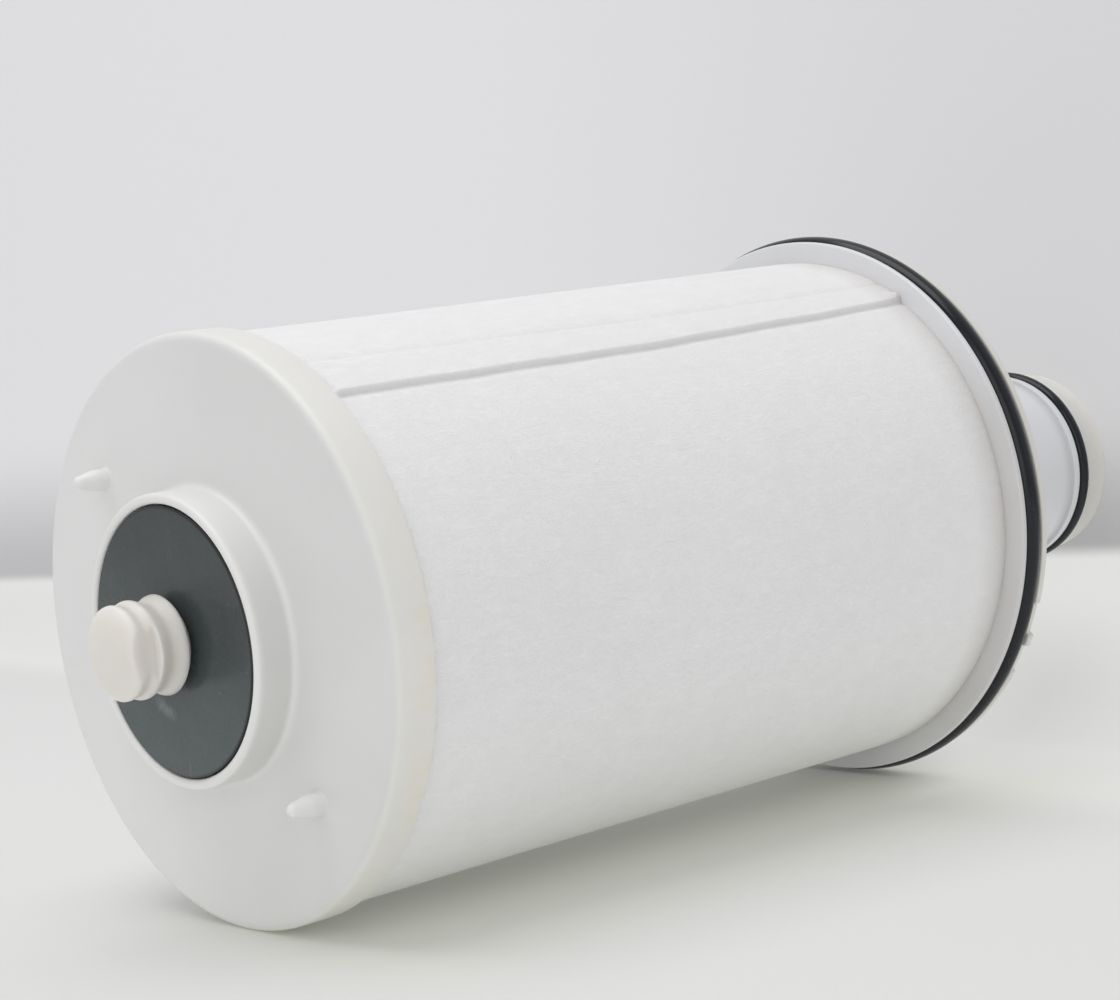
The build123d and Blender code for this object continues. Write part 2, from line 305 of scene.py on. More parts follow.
def turned(radius, angles, height):
    """Points (radius cos a, radius sin a, height), with the three spread to one shape."""
    return np.stack(np.broadcast_arrays(radius * np.cos(angles), radius * np.sin(angles), height), -1)


def lathe(profile, angles):
    """Rings [ring, point, xyz] of a profile turned round the axis."""
    return turned(profile[:, :1], angles, profile[:, 1:])


def spun(profile, step, around, loop=True):
    """Rings of a profile that is refined to a step and turned round the axis."""
    return lathe(refined(profile, step, loop), turns(around))


def shell(rings, loop=True):
    """Points, four-sided and three-sided faces of the surface through a stack of rings.

    A looped stack joins its last ring to its first. Otherwise a fan to the middle closes each end.
    """
    count, around = rings.shape[:2]
    index = np.arange(count * around).reshape(count, around)
    lower = index if loop else index[:-1]
    upper = np.roll(index, -1, 0) if loop else index[1:]
    quads = np.stack([lower, np.roll(lower, -1, 1), np.roll(upper, -1, 1), upper], -1).reshape(-1, 4)
    points, fans = rings.reshape(-1, 3), np.empty((0, 3), int)
    if not loop:
        points = np.concatenate([points, rings[[0, -1]].mean(1)])
        first, last, pole = index[0], index[-1], np.full(around, count * around)
        start_fan = np.stack([np.roll(first, -1), first, pole], -1)
        fans = np.concatenate([start_fan, np.stack([last, np.roll(last, -1), pole + 1], -1)])
    return points, quads, fans


def add_mesh(name, material, points, quads, fans):
    """Adds a smooth mesh object, built from whole arrays."""
    mesh = bpy.data.meshes.new(name)
    mesh.vertices.add(len(points))
    mesh.vertices.foreach_set("co", points.astype(np.float32).ravel())
    corners = np.concatenate([quads.ravel(), fans.ravel()])
    mesh.loops.add(len(corners))
    mesh.loops.foreach_set("vertex_index", corners.astype(np.int32))
    begins = np.concatenate([np.arange(len(quads)) * 4, quads.size + np.arange(len(fans)) * 3])
    mesh.polygons.add(len(begins))
    mesh.polygons.foreach_set("loop_start", begins.astype(np.int32))
    mesh.update(calc_edges=True)
    if mesh.validate():
        raise RuntimeError(f"the surface of {name} has faulty faces")
    mesh.shade_smooth()
    mesh.materials.append(material)
    made = bpy.data.objects.new(name, mesh)
    bpy.context.scene.collection.objects.link(made)
    return made


def add_piece(name, node, slot, material, *shells):
    """Joins shells into one piece that rides on the root body and stands for a node of the frame."""
    starts = np.cumsum([0] + [len(points) for points, _, _ in shells])
    points = np.concatenate([part[0] for part in shells])
    quads = np.concatenate([part[1] + start for part, start in zip(shells, starts)])
    fans = np.concatenate([part[2] + start for part, start in zip(shells, starts)])
    piece = add_mesh(name, material, points, quads, fans)
    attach(piece, "root")
    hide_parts(node)
    return piece


# Finishes

# Tones of painted shade, and tones that stain, mark or speckle a finish in places
FOOT_SHADE = (0.42, 0.37, 0.30)
BOSS_SHADE = (0.40, 0.385, 0.36)
CAP_SPECK = (0.35, 0.33, 0.30)
DISC_RIM_SHADE = (0.008, 0.009, 0.010)
SCRATCH = (0.34, 0.36, 0.36)
STREAK_TONE = (0.30, 0.32, 0.33)
DISC_DUST = (0.36, 0.37, 0.36)
FIBRE = (0.95, 0.95, 0.95)
PRESSED_SPECK = (0.97, 0.97, 0.97)
SEAM_SHADE = (0.40, 0.39, 0.40)
JOINT_SHADE = (0.46, 0.385, 0.325)
LIP_SHADE = (0.37, 0.328, 0.27)
COLLAR_SHADE = (0.40, 0.40, 0.41)
RING_DUST = (0.16, 0.16, 0.155)
CARBON_GLINT = (0.075, 0.075, 0.078)
FELT_FIBRE = (0.95, 0.95, 0.94)
# Directions round the axis, in degrees, that look down at the table: painted shade lies there on the
# lip and the boss, and glue stains the skirt
LIP_SHADE_SIDE, BOSS_SHADE_SIDE, STAIN_SIDE = 164.0, 165.0, 172.0


class Nodes:
    """A node tree, and a short call that adds to it."""

    def __init__(self, tree):
        self.tree = tree

    def fill(self, made, sockets):
        """Sets a node's sockets: an output becomes a link, and anything else a fixed value."""
        for key, value in sockets.items():
            socket = made.inputs[key.replace("_", " ") if isinstance(key, str) else key]
            if isinstance(value, bpy.types.NodeSocket):
                self.tree.links.new(value, socket)
            else:
                socket.default_value = value

    def add(self, kind, sockets=None, **settings):
        """Adds a node with its settings and sockets."""
        made = self.tree.nodes.new("ShaderNode" + kind)
        for key, value in settings.items():
            setattr(made, key, value)
        self.fill(made, sockets or {})
        return made


class Paint(Nodes):
    """One procedural finish: a Principled shader behind coats of tone and layers of relief."""

    def __init__(self, name, tone, **sockets):
        self.material = bpy.data.materials.new(name)
        self.material.use_nodes = True
        super().__init__(self.material.node_tree)
        self.shader = next(n for n in self.tree.nodes if n.type == "BSDF_PRINCIPLED")
        self.place = self.add("TexCoord").outputs["Object"]
        self.fill(self.shader, sockets)
        self.tone, self.normal = tone, None

    def stretch(self, scale, turn=(0.0, 0.0, 0.0)):
        """Object coordinates, turned and stretched."""
        return self.add("Mapping", {"Vector": self.place, "Scale": scale, "Rotation": turn}).outputs[0]

    def noise(self, scale, detail=2.0, rough=0.5, warp=0.0, vector=None):
        """Soft noise from 0 to 1; scale counts its features in each metre."""
        sockets = {"Scale": scale, "Detail": detail, "Roughness": rough, "Distortion": warp}
        return self.add("TexNoise", {"Vector": vector or self.place, **sockets}).outputs[0]

    def cells(self, scale):
        """Distance to the nearest of many scattered points."""
        return self.add("TexVoronoi", {"Vector": self.place, "Scale": scale}).outputs[0]

    def axis(self, letter):
        """One of the three object coordinates."""
        return self.add("SeparateXYZ", {0: self.place}).outputs[letter]

    def vector(self, operation, *values):
        """Vector arithmetic. A length and a dot product come out as plain values."""
        made = self.add("VectorMath", dict(enumerate(values)), operation=operation)
        return made.outputs["Value" if operation in {"LENGTH", "DOT_PRODUCT"} else "Vector"]

    def outward(self):
        """Way out from the axis to the place."""
        return self.vector("MULTIPLY", self.place, (1.0, 1.0, 0.0))

    def across(self):
        """Distance from the axis."""
        return self.vector("LENGTH", self.outward())

    def calc(self, operation, *values):
        """Arithmetic on one or two values."""
        return self.add("Math", dict(enumerate(values)), operation=operation).outputs[0]

    def product(self, first, *others):
        """Product of several values."""
        for other in others:
            first = self.calc("MULTIPLY", first, other)
        return first

    def apart(self, value, middle):
        """How far a value lies from a middle."""
        return self.calc("ABSOLUTE", self.calc("SUBTRACT", value, middle))

    def remap(self, value, low, high, start=0.0, end=1.0):
        """Runs smoothly from start to end while the value runs from low to high."""
        sockets = {"Value": value, "From Min": low, "From Max": high, "To Min": start, "To Max": end}
        return self.add("MapRange", sockets, interpolation_type="SMOOTHSTEP").outputs[0]

    def fall(self, value, low, high, start=1.0):
        """Runs smoothly from start to 0 while the value runs from low to high."""
        return self.remap(value, low, high, start, 0.0)

    def ridges(self, noise, width):
        """1 along the lines where a noise passes one half, falling to 0 at a width beside them."""
        return self.fall(self.apart(noise, 0.5), 0.0, width)

    def facing(self, degrees, low, high):
        """1 towards a direction round the axis, falling to 0 away from it: a dot product."""
        heading = (math.cos(math.radians(degrees)), math.sin(math.radians(degrees)), 0.0)
        own = self.vector("NORMALIZE", self.outward())
        return self.remap(self.vector("DOT_PRODUCT", own, heading), low, high)

    def mix(self, factor, first, second, blend="MIX"):
        """Blends two tones, each an output or a colour."""
        first, second = (
            tone if isinstance(tone, bpy.types.NodeSocket) else (*tone, 1.0) for tone in (first, second)
        )
        sockets = {0: factor, 6: first, 7: second}
        return self.add("Mix", sockets, data_type="RGBA", blend_type=blend).outputs[2]

    def coat(self, factor, tone):
        """Lays a tone over the one so far."""
        self.tone = self.mix(factor, self.tone, tone)

    def dim(self, level):
        """Multiplies the tone by a level."""
        grey = self.add("CombineXYZ", {0: level, 1: level, 2: level}).outputs[0]
        self.tone = self.mix(1.0, self.tone, grey, "MULTIPLY")

    def sway(self, amount, value):
        """Makes the tone lighter and darker by a value that swings round one half."""
        self.dim(self.remap(value, 0.0, 1.0, 1.0 - amount, 1.0 + amount))

    def clouds(self, amount, *noise):
        """Makes the tone lighter and darker by a noise."""
        self.sway(amount, self.noise(*noise))

    def emboss(self, depth, height):
        """Adds relief from a height that runs from 0 to 1, as deep as depth in millimetres."""
        below = {} if self.normal is None else {"Normal": self.normal}
        sockets = {"Height": height, "Distance": depth * MM, "Strength": 1.0, **below}
        self.normal = self.add("Bump", sockets).outputs[0]

    def grain(self, depth, *noise):
        """Adds relief from a noise."""
        self.emboss(depth, self.noise(*noise))

    def finish(self, low, high, *noise):
        """Fills the shader, with a roughness that wanders between two levels."""
        level = self.remap(self.noise(*noise), 0.3, 0.7, low, high)
        self.fill(self.shader, {"Base Color": self.tone, "Roughness": level, "Normal": self.normal})
        return self.material


def moulded(paint, roughness, grain, sink):
    """Finishes moulded plastic: faint clouds of tone, soft sink marks and a fine eroded grain."""
    paint.clouds(0.035, 45.0, 3.0)
    paint.grain(sink, 38.0, 1.0)
    paint.grain(grain, 2600.0, 2.0, 0.6)
    return paint.finish(roughness - 0.05, roughness + 0.06, 700.0, 3.0)


def cream_finish(colours, base):
    """Cream plastic of the stem, paler on the nose, with painted shade towards the disc: light soaks
    in, so that its hollows stay soft.
    """
    soft = {"Subsurface Radius": (1.0, 0.92, 0.82), "Subsurface Scale": 4.0 * MM}
    paint = Paint("cream_finish", colours.cream, Subsurface_Weight=0.9, **soft)
    height = paint.axis("Z")
    # Painted shade: the stem's cream darkens over its lowest 7 mm, towards the disc
    paint.coat(paint.fall(height, base, base + 7.0 * MM, 0.22), FOOT_SHADE)
    paint.coat(paint.fall(height, 20.0 * MM, 60.0 * MM), colours.nose)
    return moulded(paint, 0.42, 0.010, 0.05)


def cap_finish(colours, face, skirt_low, boss, top):
    """Closed cap: grey white face, cream skirt, boss and pegs, amber glue at the skirt's lower edge,
    painted shade on the face and the boss's side.
    """
    paint = Paint("cap_finish", colours.cap)
    height, start, end = paint.axis("Z"), 0.05 * MM, 0.8 * MM
    # Painted shade: the face darker towards -X, where less light falls
    paint.dim(paint.remap(paint.axis("X"), -45.0 * MM, 45.0 * MM, 0.92, 1.0))
    paint.coat(paint.fall(height, face - end, face - start), colours.cap_cream)
    paint.coat(paint.remap(height, face + start, face + end), colours.boss)
    # Painted shade on the boss's side wall, on the side that looks down at the table
    wall = paint.product(
        paint.remap(height, face + 0.5 * MM, face + 2.0 * MM),
        paint.fall(height, top - 1.8 * MM, top - 0.2 * MM),
        paint.fall(paint.across(), boss + 1.0 * MM, boss + 4.0 * MM),
        paint.facing(BOSS_SHADE_SIDE, 0.1, 0.9),
        0.25,
    )
    paint.coat(wall, BOSS_SHADE)
    low = paint.fall(height, skirt_low + 1.0 * MM, skirt_low + 7.0 * MM)
    patches = paint.remap(paint.noise(130.0, 3.0, 0.6), 0.40, 0.66)
    paint.coat(paint.product(low, paint.facing(STAIN_SIDE, 0.72, 0.98), patches, 0.30), colours.amber)
    paint.coat(paint.product(low, 0.05), colours.amber)
    paint.clouds(0.03, 40.0, 3.0)
    paint.coat(paint.fall(paint.cells(60.0), 0.012, 0.020, 0.45), CAP_SPECK)
    paint.grain(0.10, 32.0, 1.0)
    paint.grain(0.012, 2400.0, 2.0, 0.6)
    return paint.finish(0.36, 0.47, 900.0, 3.0)


def disc_finish(colours, radius, top):
    """Slate rubber: cloudy tone with painted shade across it and at its rim, hair scratches, a light
    streak by the stem, dust, a fine pebbled grain.
    """
    paint = Paint("disc_finish", colours.disc, Specular_IOR_Level=0.42)
    paint.clouds(0.16, 90.0, 4.0, 0.6)
    # Painted shade: the disc darker towards -X and -Y, lighter the other way
    painted_shade_slant = paint.calc("SUBTRACT", paint.axis("Y"), paint.product(paint.axis("X"), -0.6))
    paint.sway(0.22, paint.remap(painted_shade_slant, -22.0 * MM, 26.0 * MM))
    # Painted shade in the gap between the disc's rim and the boss
    paint.coat(paint.remap(paint.across(), radius - 0.7 * MM, radius - 0.15 * MM, 0.0, 0.85), DISC_RIM_SHADE)
    hairs = paint.noise(1.0, 2.0, 0.5, 0.4, paint.stretch((420.0, 36.0, 60.0), (0.0, 0.0, 0.7)))
    hairs = paint.product(paint.ridges(hairs, 0.0045), paint.remap(paint.noise(75.0, 1.0), 0.56, 0.66))
    paint.coat(paint.product(hairs, 0.30), SCRATCH)
    # A lighter streak by the stem, fading out along its length and across it
    off = paint.vector("SUBTRACT", paint.place, (5.0 * MM, 12.5 * MM, top))
    streak = paint.remap(paint.noise(900.0, 3.0, 0.6), 0.25, 0.75, 0.25, 0.60)
    along, over = (-0.886, 0.463, 0.0), (0.463, 0.886, 0.0)
    for heading, full, end in ((along, 0.5 * MM, 4.6 * MM), (over, 0.1 * MM, 1.9 * MM)):
        reach = paint.calc("ABSOLUTE", paint.vector("DOT_PRODUCT", off, heading))
        streak = paint.product(streak, paint.fall(reach, full, end))
    paint.coat(streak, STREAK_TONE)
    paint.coat(paint.fall(paint.cells(330.0), 0.035, 0.070, 0.35), DISC_DUST)
    paint.emboss(0.02, hairs)
    paint.grain(0.010, 1900.0, 2.0)
    return paint.finish(0.20, 0.30, 300.0, 4.0, 0.65)


def fabric_finish(colours, low):
    """White nonwoven: fibres as ridges of warped noise, pressed specks, a nap, painted shade along the
    seam and towards the glued lower end.
    """
    nap = {"Sheen Weight": 0.12, "Sheen Roughness": 0.5}
    paint = Paint("fabric_finish", colours.fabric, Specular_IOR_Level=0.25, **nap)
    long_fibre = paint.noise(330.0, 2.0, 0.5, 1.6, paint.stretch((1.0, 1.0, 0.35)))
    short_fibre = paint.ridges(paint.noise(1100.0, 2.0, 0.5, 1.0), 0.06)
    fibres = paint.calc("MAXIMUM", paint.ridges(long_fibre, 0.05), paint.product(short_fibre, 0.7))
    specks = paint.fall(paint.cells(520.0), 0.10, 0.24)
    paint.clouds(0.018, 26.0, 3.0)
    paint.clouds(0.022, 210.0, 3.0, 0.6)
    paint.coat(paint.product(fibres, 0.13), FIBRE)
    paint.coat(paint.product(specks, 0.16), PRESSED_SPECK)
    # Painted shade along the lap's free edge and its fold line
    seam = paint.add("Attribute", attribute_name="shade").outputs["Fac"]
    paint.coat(paint.product(seam, 0.29), SEAM_SHADE)
    # Painted shade that darkens the fabric over 10 mm towards its joint with the flange, in a warm glue
    # tone near the joint
    height = paint.axis("Z")
    wide = paint.fall(height, low, low + 10.0 * MM, 0.27)
    narrow = paint.fall(height, low, low + 2.2 * MM, 0.12)
    paint.coat(paint.calc("ADD", wide, narrow), JOINT_SHADE)
    paint.grain(0.10, 60.0, 2.0)
    paint.emboss(0.030, paint.calc("ADD", fibres, specks))
    paint.grain(0.015, 3200.0, 2.0, 0.6)
    return paint.finish(0.80, 0.92, 420.0, 2.0)


def outlet_finish(colours, front, collar):
    """Cool white plastic, warmer behind the flange, with faint flow lines round the axis and painted
    shade on the lip and above the collar.
    """
    paint = Paint("outlet_finish", colours.outlet)
    height = paint.axis("Z")
    behind = paint.fall(height, front - 4.0 * MM, front)
    rear = paint.remap(height, front - 9.0 * MM, front - 6.0 * MM)
    paint.coat(paint.product(behind, rear), colours.outlet_rear)
    # Painted shade on the front lip's face, on the side that looks down at the table
    face = paint.remap(height, front - 0.2 * MM, front + 0.2 * MM)
    paint.coat(paint.product(face, paint.facing(LIP_SHADE_SIDE, 0.5, 0.9), 0.28), LIP_SHADE)
    # Painted shade on the neck just above the collar's step
    above = paint.remap(height, collar - 0.1 * MM, collar)
    paint.coat(paint.product(paint.fall(height, collar, collar + 3.4 * MM, 0.32), above), COLLAR_SHADE)
    paint.clouds(0.025, 50.0, 3.0)
    paint.grain(0.012, 1.0, 2.0, 0.5, 0.0, paint.stretch((12.0, 12.0, 420.0)))
    paint.grain(0.010, 2500.0, 2.0, 0.6)
    return paint.finish(0.33, 0.45, 800.0, 3.0)


def ring_finish(colours, levels):
    """Black rubber of the O-rings: satin, with dust and a hair-fine parting line round each ring."""
    paint = Paint("ring_finish", colours.rubber, Specular_IOR_Level=0.40)
    height = paint.axis("Z")
    near = paint.calc("MINIMUM", *(paint.apart(height, level) for level in levels))
    paint.clouds(0.25, 160.0, 4.0, 0.6)
    paint.coat(paint.fall(paint.cells(600.0), 0.05, 0.09, 0.25), RING_DUST)
    paint.emboss(0.025, paint.fall(near, 0.03 * MM, 0.11 * MM))
    paint.grain(0.010, 1700.0, 2.0)
    return paint.finish(0.15, 0.23, 420.0, 4.0, 0.65)


def carbon_finish(colours):
    """Pressed carbon: packed grains with dull and glinting faces."""
    paint = Paint("carbon_finish", colours.carbon, Specular_IOR_Level=0.3)
    grains = paint.cells(1300.0)
    paint.coat(paint.remap(grains, 0.1, 0.7), CARBON_GLINT)
    paint.emboss(0.12, grains)
    return paint.finish(0.70, 0.95, 900.0, 3.0)


def felt_finish(colours):
    """Thin felt: matted fibres as the ridges of warped noise."""
    paint = Paint("felt_finish", colours.felt, Sheen_Weight=0.15)
    fibres = paint.ridges(paint.noise(700.0, 3.0, 0.6, 1.5), 0.07)
    paint.coat(paint.product(fibres, 0.2), FELT_FIBRE)
    paint.emboss(0.06, fibres)
    return paint.finish(0.86, 0.96, 400.0, 2.0)


def glue_finish(colours):
    """Set glue: amber clouds, small bubbles and a soft gloss."""
    paint = Paint("glue_finish", colours.glue)
    paint.clouds(0.10, 110.0, 3.0)
    paint.emboss(0.08, paint.fall(paint.cells(420.0), 0.08, 0.22))
    return paint.finish(0.25, 0.40, 260.0, 2.0)


def sweep_finish(settings):
    """Pale sweep: table tone by the cartridge with a painted shadow tint under it, painted dusk where
    the backdrop starts, a pale tone farther off.

    The distance from that line is y less a straight function of x. A share of each tone is the sweep's
    own light, as on a light table, so that shadows stay soft. Its back lets the camera through.
    """
    paint = Paint("sweep", settings.backdrop, Roughness=0.7)
    x, y, z = paint.axis("X"), paint.axis("Y"), paint.axis("Z")
    line_slope, line_level, line_blur = 0.0351, 22.4 * MM, 2.2 * MM
    off = paint.calc("SUBTRACT", paint.calc("ADD", paint.product(x, line_slope), line_level), y)
    beyond = paint.remap(off, -line_blur, line_blur)
    # Painted shade: the backdrop darker where it begins and towards -X
    reach = paint.remap(x, -60.0 * MM, 150.0 * MM, 36.0 * MM, 55.0 * MM)
    side = paint.remap(x, -60.0 * MM, 220.0 * MM, 0.90, 1.0)
    paint.dim(paint.product(paint.remap(off, 0.0, reach, settings.dusk, 1.0), side))
    # Painted shadow tint: a yellow-green tone where the cartridge's shadow falls on the table
    under = paint.product(
        paint.fall(paint.apart(x, -25.0 * MM), 15.0 * MM, 60.0 * MM),
        paint.fall(paint.apart(z, 155.0 * MM), 80.0 * MM, 110.0 * MM),
    )
    seen_tone = paint.mix(beyond, paint.mix(under, settings.table, settings.contact), paint.tone)
    # Own light: more of it past the outlet's end and towards the horizon, little next to the cartridge
    ahead = paint.calc("MINIMUM", paint.calc("MAXIMUM", x, -35.0 * MM), 0.0)
    near = paint.remap(paint.calc("ADD", ahead, z), 36.5 * MM, 68.5 * MM, 0.54, settings.table_glow)
    near = paint.calc("ADD", near, paint.fall(y, 30.0 * MM, 56.0 * MM, 0.34))
    glow = paint.calc("ADD", near, paint.product(beyond, paint.calc("SUBTRACT", settings.glow, near)))
    seen = paint.add("LightPath").outputs["Is Camera Ray"]
    unseen, table, dull = (paint.calc("SUBTRACT", 1.0, value) for value in (seen, beyond, glow))
    light = paint.calc("ADD", glow, paint.product(unseen, table, settings.bounce))
    paint.tone = seen_tone
    paint.dim(dull)
    paint.grain(0.02, 900.0, 2.0)
    lit = {"Emission Color": seen_tone, "Emission Strength": light}
    paint.fill(paint.shader, {"Base Color": paint.tone, "Normal": paint.normal, **lit})
    back = paint.add("NewGeometry").outputs["Backfacing"]
    clear = paint.add("BsdfTransparent").outputs[0]
    mix = paint.add("MixShader", {0: paint.product(back, seen), 1: paint.shader.outputs[0], 2: clear})
    out = next(n for n in paint.tree.nodes if n.type == "OUTPUT_MATERIAL")
    paint.fill(out, {0: mix.outputs[0]})
    return paint.material


# Operators

class Builder:
    """What the operators share: each builds one piece or group on the scene."""

    bl_options = {"REGISTER"}

    def execute(self, context):
        self.build(context.scene)
        return {"FINISHED"}


def peg_shell(sizes, face, heading):
    """A peg: shank with a hollow foot, taper and half-round tip, turned round its own axis."""
    radius, hollow, shank = sizes.peg_radius, sizes.peg_foot, sizes.peg_shank
    sunk, ease_in, ease_up = 0.4 * MM, 0.03 * MM, 0.2 * MM
    t = np.linspace(0.0, 0.5 * np.pi, 9)
    foot = pairs(radius + hollow * (1.0 - np.sin(t)), hollow * (1.0 - np.cos(t)))
    t = np.linspace(0.10, 0.49 * np.pi, 10)
    tip = pairs(sizes.peg_tip * np.cos(t), shank + sizes.peg_taper + sizes.peg_tip * np.sin(t))
    shoulder = [[radius, shank], [radius - ease_in, shank + ease_up]]
    profile = np.concatenate([[[radius + hollow, -sunk]], foot, shoulder, tip])
    return shell(spun(profile, 0.5 * MM, 40, False) + turned(sizes.peg_pitch, heading, face), False)


class CARTRIDGE_OT_closed_cap(Builder, bpy.types.Operator):
    """Build the closed cap: plate, skirt, boss with its pocket, stem socket and two pegs"""

    bl_idname = "cartridge.closed_cap"
    bl_label = "Closed cap"

    def build(self, scene):
        sizes = scene.cartridge_cap
        outside, top, inside = CAP_HIGH.x, CAP_HIGH.z, WRAP_HIGH.z
        face, pocket_floor = inside + sizes.plate, DISC_LOW.z
        under_pocket, pocket = pocket_floor - sizes.floor, DISC_HIGH.x + sizes.gap
        boss = pocket + sizes.boss_wall
        socket, socket_low = sizes.socket, pocket_floor - sizes.grip
        socket_out, socket_end = socket + sizes.socket_wall, socket_low - sizes.floor
        ring_low = inside - sizes.ring_height
        skirt, skirt_low = outside - sizes.skirt_wall, face - sizes.skirt
        skirt_in_edge, skirt_out_edge = 0.25 * MM, 0.45 * MM
        profile = rounded([
            (POLE, socket_end, 0.0),
            (socket_out, socket_end, SHARP), (socket_out, under_pocket, SHARP),
            (sizes.ring_inner, under_pocket, SHARP), (sizes.ring_inner, ring_low, SHARP),
            (sizes.ring_outer, ring_low, SHARP), (sizes.ring_outer, inside, SHARP),
            (skirt, inside, SHARP), (skirt, skirt_low, skirt_in_edge),
            (outside, skirt_low, skirt_out_edge), (outside, face, sizes.edge),
            (boss, face, sizes.foot), (boss, top, sizes.rim),
            (pocket, top, sizes.rim), (pocket, pocket_floor, SHARP),
            (socket, pocket_floor, SHARP), (socket, socket_low, SHARP),
            (POLE, socket_low, 0.0),
        ])
        cap = shell(spun(profile, 2.5 * MM, 288, False), False)
        pegs = [peg_shell(sizes, face, sizes.peg_turn + turn) for turn in (0.0, math.pi)]
        material = cap_finish(scene.cartridge_finishes, face, skirt_low, boss, top)
        add_piece("cap_moulding", "closed_end_cap", "cap_plastic", material, cap, *pegs)


class CARTRIDGE_OT_seal_disc(Builder, bpy.types.Operator):
    """Build the rubber disc that lies in the boss, with its hole for the stem"""

    bl_idname = "cartridge.seal_disc"
    bl_label = "Seal disc"

    def build(self, scene):
        clearance, outside, low, high = 0.15 * MM, DISC_HIGH.x, DISC_LOW.z, DISC_HIGH.z
        hole = scene.cartridge_stem.shank + clearance
        profile = rounded([
            (hole, low, CRISP), (outside, low, CRISP),
            (outside, high, scene.cartridge_cap.disc_edge), (hole, high, CRISP),
        ])
        material = disc_finish(scene.cartridge_finishes, outside, high)
        disc = shell(spun(profile, 1.5 * MM, 240))
        add_piece("disc_face", "seal_disc", "disc_rubber", material, disc)


def stem_profile(sizes, base, top):
    """Profile of the stem: the shank, then the drum, the waists, the ribs and the domed end.

    The drum widens from its foot almost as a cone. From each crest to the next waist, and on to the
    next crest, the radius runs level at both ends. The end is a quarter of a full ellipse, with the
    powers of both shares of the way adding up to one.
    """
    low, start, chamfer = STEM_LOW.z, base + 0.02 * MM, 0.4 * MM
    radius = sizes.shank
    shank = [[POLE, low], [radius - chamfer, low], [radius, low + chamfer], [radius, start]]
    waists_and_ribs = (sizes.lower_waist, sizes.lower_rib, sizes.middle_waist, sizes.upper_rib)
    levels = [tuple(level) for level in (sizes.drum, *waists_and_ribs)]
    (drum_radius, drum_height), (end_radius, end_height) = levels[0], levels[-1]
    t = np.linspace(0.0, 1.0, 14)
    flare = sizes.foot + (drum_radius - sizes.foot) * (1.0 - (1.0 - t) ** 1.2)
    drum = pairs(flare, start + t * (base + drum_height - start))
    t = t[1:]
    ease = smooth(t, 0.0, 1.0)
    runs = [
        pairs(r0 + (r1 - r0) * ease, base + h0 + (h1 - h0) * t)
        for (r0, h0), (r1, h1) in zip(levels, levels[1:])
    ]
    t = np.linspace(0.0, 0.5 * np.pi, 24)[1:-1]
    power, rib = 2.0 / sizes.end_power, base + end_height
    end = pairs(end_radius * np.cos(t) ** power, rib + (top - rib) * np.sin(t) ** power)
    return np.concatenate([shank, drum, *runs, end])


def flattened(rings, sizes, base):
    """Presses the ribs flat on both X sides, by a smooth minimum of x and the flat's distance.

    The smooth minimum of a and b is (a + b - sqrt((a - b)^2 + width^2)) / 2.
    """
    height, out, width = rings[..., 2] - base, np.abs(rings[..., 0]), 0.35 * MM
    pressed = 0.5 * (out + sizes.flat - np.sqrt((out - sizes.flat) ** 2 + width**2))
    gain = smooth(height, sizes.lower_rib[1] - 0.15 * MM, sizes.lower_rib[1] + 0.35 * MM)
    rings[..., 0] = np.sign(rings[..., 0]) * np.clip(out + gain * (pressed - out), 0.0, None)
    return rings


class CARTRIDGE_OT_ribbed_stem(Builder, bpy.types.Operator):
    """Build the ribbed stem: round drum, two ribs with stepped flats, and a domed end"""

    bl_idname = "cartridge.ribbed_stem"
    bl_label = "Ribbed stem"

    def build(self, scene):
        sizes, base = scene.cartridge_stem, DISC_HIGH.z
        rings = spun(stem_profile(sizes, base, STEM_HIGH.z), 0.3 * MM, 256, False)
        stem = shell(flattened(rings, sizes, base), False)
        material = cream_finish(scene.cartridge_finishes, base)
        add_piece("stem_moulding", "ribbed_stem", "cream_plastic", material, stem)


def wrap_radii(sizes, spin, lap, z, low, below_skirt):
    """Radius over (angle from the free edge, height), and the share of painted shade that lies in the
    seam.

    The lap stands up at the free edge over a short slope and sinks back behind the fold line, which is
    a shallow crease. The fabric is tucked in at the flange, swells softly, and ends the seam in a nub.
    """
    width, up = sizes.edge_width, z - low
    arc = sizes.radius * np.where(spin > np.pi, spin - FULL_TURN, spin)
    fold = sizes.radius * lap
    shown = smooth(below_skirt, 0.2 * MM, 2.2 * MM)
    slope = smooth(arc, -0.75 * width, 0.25 * width)
    behind = 1.0 - 0.35 * smooth(arc, 0.0, fold) - 0.65 * smooth(arc, fold, fold + 16.0 * MM)
    lift = sizes.rise * shown * slope * behind * (arc < 40.0 * MM)
    in_fold = bump(arc, fold, 0.5 * MM)
    crease = -0.25 * MM * shown * in_fold
    ditch = -0.28 * MM * shown * bump(arc, -0.85 * width, 0.6 * MM)
    shade = shown * (bump(arc, -0.6 * width, 0.55 * MM) + 0.25 * in_fold)
    tuck = -sizes.tuck * (np.exp(-up / (2.0 * MM)) + 0.6 * np.exp(-up / (0.35 * MM)))
    nub = sizes.nub * bump(arc, 0.9 * MM, 1.1 * MM) * bump(up, 1.3 * MM, 1.2 * MM)
    waves = (
        np.sin(3.0 * spin + 1.3) * np.sin(z / (31.0 * MM) + 0.4)
        + 0.6 * np.sin(7.0 * spin + 2.1 + z / (40.0 * MM))
        + 0.5 * np.sin(2.0 * spin + 0.5) * np.sin(z / (12.0 * MM) + 1.9)
    )
    swell = sizes.unevenness * smooth(below_skirt, 0.0, 8.0 * MM) * waves
    seated = -0.12 * MM * (1.0 - smooth(below_skirt, 0.0, 3.0 * MM))
    return sizes.radius + lift + crease + ditch + tuck + nub + seated + swell, shade


